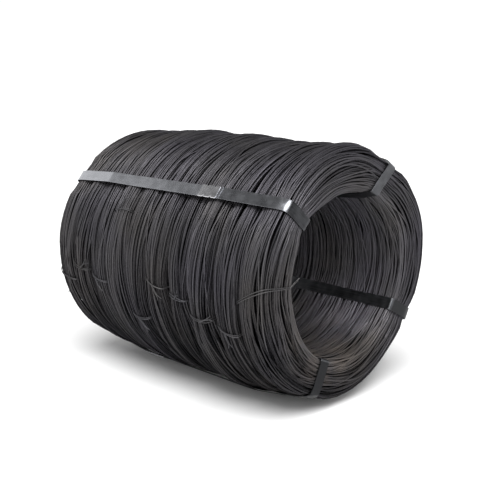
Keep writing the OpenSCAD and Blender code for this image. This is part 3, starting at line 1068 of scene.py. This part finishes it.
def strip_material(name, dull, bright, roughness):
    """Rolled steel strip: drawn streaks along it, bright or dark by wear and painted shade, rubbed bright
    along its edges.
    """
    material, tree, shader = new_material(name, STRIP_METALLIC, roughness)
    along, across = kept_value(tree, "along"), kept_value(tree, "across")
    lengthways = tree.nodes.new("ShaderNodeCombineXYZ")
    tree.links.new(maths(tree, "MULTIPLY", along, STREAK_ALONG), lengthways.inputs["X"])
    tree.links.new(maths(tree, "MULTIPLY", across, STREAK_ACROSS), lengthways.inputs["Y"])
    streak = noise(tree, lengthways.outputs["Vector"], 1, detail=5)
    patch = noise(tree, object_place(tree), PATCH_SCALE, detail=5)
    streaks = span(tree, streak, *NOISE_RANGE, *STREAK_RUB)
    patches = span(tree, patch, *PATCH_RANGE, *PATCH_RUB)
    edge = span(tree, maths(tree, "ABSOLUTE", across, 0), *RUBBED_EDGE, 0, EDGE_RUB)
    rubbed = maths(tree, "ADD", maths(tree, "ADD", streaks, patches), edge)
    # Wear and painted shade kept on the mesh
    wear_and_shade = kept_value(tree, "wear_and_shade")
    rubbed = maths(tree, "MULTIPLY", rubbed, span(tree, wear_and_shade, *RUB_RANGE, *RUB_SHARES))
    worn_and_shaded = maths(tree, "ADD", wear_and_shade, rubbed)
    tree.links.new(ramp_node(tree, worn_and_shaded, [(0, dull), (1, bright)]), shader.inputs["Base Color"])
    rough = span(tree, worn_and_shaded, 0, 1, roughness + DULL_ROUGH, roughness)
    rough = maths(tree, "ADD", rough, span(tree, patch, *NOISE_RANGE, *PATCH_ROUGH))
    tree.links.new(rough, shader.inputs["Roughness"])
    bump(tree, shader, streak, *STREAK_BUMP)
    return material


# Studio

# Floor: radius, corners, roughness, scale of its grain, and the greys that the grain goes between
FLOOR_R = 80.0
FLOOR_CORNERS = 64
FLOOR_ROUGH = 0.9
GRAIN_SCALE = 3
FLOOR_GREYS = (0.92, 0.95)


def studio():
    """Wide pale floor."""
    turn = np.arange(FLOOR_CORNERS) * math.tau / FLOOR_CORNERS
    corners = [(FLOOR_R * math.cos(a), FLOOR_R * math.sin(a), 0) for a in turn]
    mesh = bpy.data.meshes.new("floor")
    mesh.from_pydata(corners, [], [tuple(range(FLOOR_CORNERS))])
    material, tree, shader = new_material("pale_floor", 0, FLOOR_ROUGH)
    grain = noise(tree, object_place(tree), GRAIN_SCALE, detail=5)
    greys = [(at, (grey,) * 3) for at, grey in zip(NOISE_RANGE, FLOOR_GREYS)]
    tree.links.new(ramp_node(tree, grain, greys), shader.inputs["Base Color"])
    mesh.materials.append(material)
    floor = bpy.data.objects.new("floor", mesh)
    link(floor)


# Sky: brightness of the studio's lower walls and of its ceiling, and the heights, in degrees, between which
# one fades into the other
WALL_LIGHT = 1.04
CEILING_LIGHT = 0.13
FADE_FROM, FADE_TO = 29, 38
# Main light: where it comes from, its strength and its width in degrees
SUN_FROM = (0.40, -0.38, 0.83)
SUN_POWER = 4.3
SUN_WIDTH = 44


def lights():
    """Broad main light and the studio's walls and ceiling."""
    data = bpy.data.lights.new("main", "SUN")
    data.energy = SUN_POWER
    data.angle = math.radians(SUN_WIDTH)
    sun = bpy.data.objects.new("main", data)
    sun.rotation_euler = (-Vector(SUN_FROM)).to_track_quat("-Z", "Y").to_euler()
    link(sun)
    world = bpy.data.worlds.new("studio")
    world.use_nodes = True
    tree = world.node_tree
    split = tree.nodes.new("ShaderNodeSeparateXYZ")
    tree.links.new(tree.nodes.new("ShaderNodeTexCoord").outputs["Generated"], split.inputs["Vector"])
    fades = ((FADE_FROM, WALL_LIGHT), (FADE_TO, CEILING_LIGHT))
    stops = [(math.sin(math.radians(height)), (light,) * 3) for height, light in fades]
    tree.links.new(ramp_node(tree, split.outputs["Z"], stops), tree.nodes["Background"].inputs["Color"])
    bpy.context.scene.world = world


def camera():
    """Camera at the photograph's angle, from its focal length and principal point."""
    a, e = math.radians(VIEW_AZIMUTH), math.radians(VIEW_ELEVATION)
    back = Vector((math.sin(a) * math.cos(e), -math.cos(a) * math.cos(e), math.sin(e)))
    data = bpy.data.cameras.new("camera")
    data.sensor_width = SENSOR_MM
    data.lens = FOCAL_PX / FRAME_PX * data.sensor_width
    data.shift_x = (FRAME_PX / 2 - PRINCIPAL_PX[0]) / FRAME_PX
    data.shift_y = (PRINCIPAL_PX[1] - FRAME_PX / 2) / FRAME_PX
    cam = bpy.data.objects.new("camera", data)
    cam.location = Vector((0, 0, AXIS_Z)) + back * VIEW_DISTANCE * BUNDLE_R
    cam.rotation_euler = (-back).to_track_quat("-Z", "Y").to_euler()
    link(cam)
    bpy.context.scene.camera = cam


def main():
    """Builds the scene."""
    bpy.context.scene.view_settings.view_transform = "Standard"
    camera()
    studio()
    lights()
    wire = wire_material("drawn_wire", *WIRE_LOOK)
    tie = wire_material("annealed_tie", *TIE_LOOK)
    strap = strip_material("strap_steel", *STRAP_LOOK)
    seal = strip_material("seal_steel", *SEAL_LOOK)
    for index in range(HANKS):
        build_hank(index, wire)
        build_ties(index, tie)
    for n in range(len(STRAP_ANGLES)):
        build_strap(n, strap)
        build_seal(n, seal)


main()
